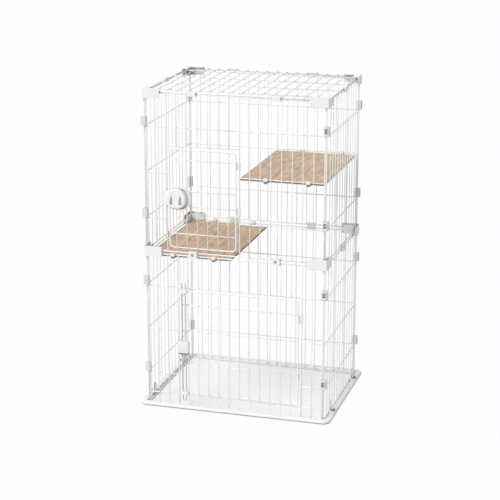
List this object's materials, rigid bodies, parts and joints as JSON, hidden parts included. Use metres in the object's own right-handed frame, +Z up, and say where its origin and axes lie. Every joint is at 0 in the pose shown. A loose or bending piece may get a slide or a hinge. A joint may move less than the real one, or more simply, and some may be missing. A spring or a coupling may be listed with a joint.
{
  "type": "two-tier cat cage",
  "caption": "Free-standing two-tier cat cage of white wire panels on a shallow tray, with a hinged latched door in each tier, wooden half shelves and plastic corner blocks.",
  "frame": {"origin": "on the ground, under the middle of the base tray", "axes": "+Z up, +X to the right seen from the door side, -Y towards the doors"},
  "size_m": [0.752, 0.581, 1.2277],
  "materials": {
    "coated_wire": "white coated steel wire, semi-gloss",
    "white_plastic": "white moulded plastic, satin",
    "tray_plastic": "white moulded tray, satin",
    "shelf_wood": "pale fine-grained board with darker sawn edges",
    "bolt_wire": "grey coated steel rod, semi-gloss",
    "grey_plastic": "mid-grey moulded plastic, satin"
  },
  "bodies": {
    "cage": {"front_lower_panel": "coated_wire", "front_upper_panel": "coated_wire", "back_lower_panel": "coated_wire", "back_upper_panel": "coated_wire", "left_lower_panel": "coated_wire", "left_upper_panel": "coated_wire", "right_lower_panel": "coated_wire", "right_upper_panel": "coated_wire", "roof_panel": "coated_wire", "hinge_collars": "coated_wire", "latch_keeper": "white_plastic", "lower_shelf_hooks": "white_plastic", "upper_shelf_hooks": "white_plastic", "tier_joint_clips": "white_plastic", "roof_joint_clips": "white_plastic", "tray_hooks": "white_plastic", "top_block_front_left": "white_plastic", "top_block_front_right": "white_plastic", "top_block_back_left": "white_plastic", "top_block_back_right": "white_plastic", "tier_block_front_left": "white_plastic", "tier_block_front_right": "white_plastic", "tier_block_back_left": "white_plastic", "tier_block_back_right": "white_plastic", "edge_clips_front_left": "white_plastic", "edge_clips_front_right": "white_plastic", "edge_clips_back_left": "white_plastic", "edge_clips_back_right": "white_plastic", "base_tray": "tray_plastic", "lower_shelf": "shelf_wood", "upper_shelf": "shelf_wood", "tray_pegs": "grey_plastic"},
    "upper_door": {"upper_door_frame": "coated_wire", "upper_door_wires": "coated_wire", "upper_door_hinges": "coated_wire", "latch_body": "white_plastic"},
    "lower_door": {"lower_door_frame": "coated_wire", "lower_door_wires": "coated_wire", "lower_door_hinges": "coated_wire", "bolt_guides": "coated_wire"},
    "upper_latch": {"latch_slider": "white_plastic"},
    "lower_bolt": {"bolt_hairpin": "bolt_wire", "bolt_handle": "white_plastic"}
  },
  "joints": [
    {"name": "upper_door_hinge", "type": "hinge", "parent": "cage", "child": "upper_door", "pos_m": [0.02, -0.26, 0.815], "axis": [0, 0, 1], "range_deg": [0, 120]},
    {"name": "lower_door_hinge", "type": "hinge", "parent": "cage", "child": "lower_door", "pos_m": [0.26, -0.26, 0.265], "axis": [0, 0, 1], "range_deg": [0, 120]},
    {"name": "latch_slide", "type": "slide", "parent": "upper_door", "child": "upper_latch", "axis": [1, 0, 0], "range_m": [0, 0.012]},
    {"name": "bolt_slide", "type": "slide", "parent": "lower_door", "child": "lower_bolt", "axis": [0, 0, 1], "range_m": [0, 0.016]}
  ]
}
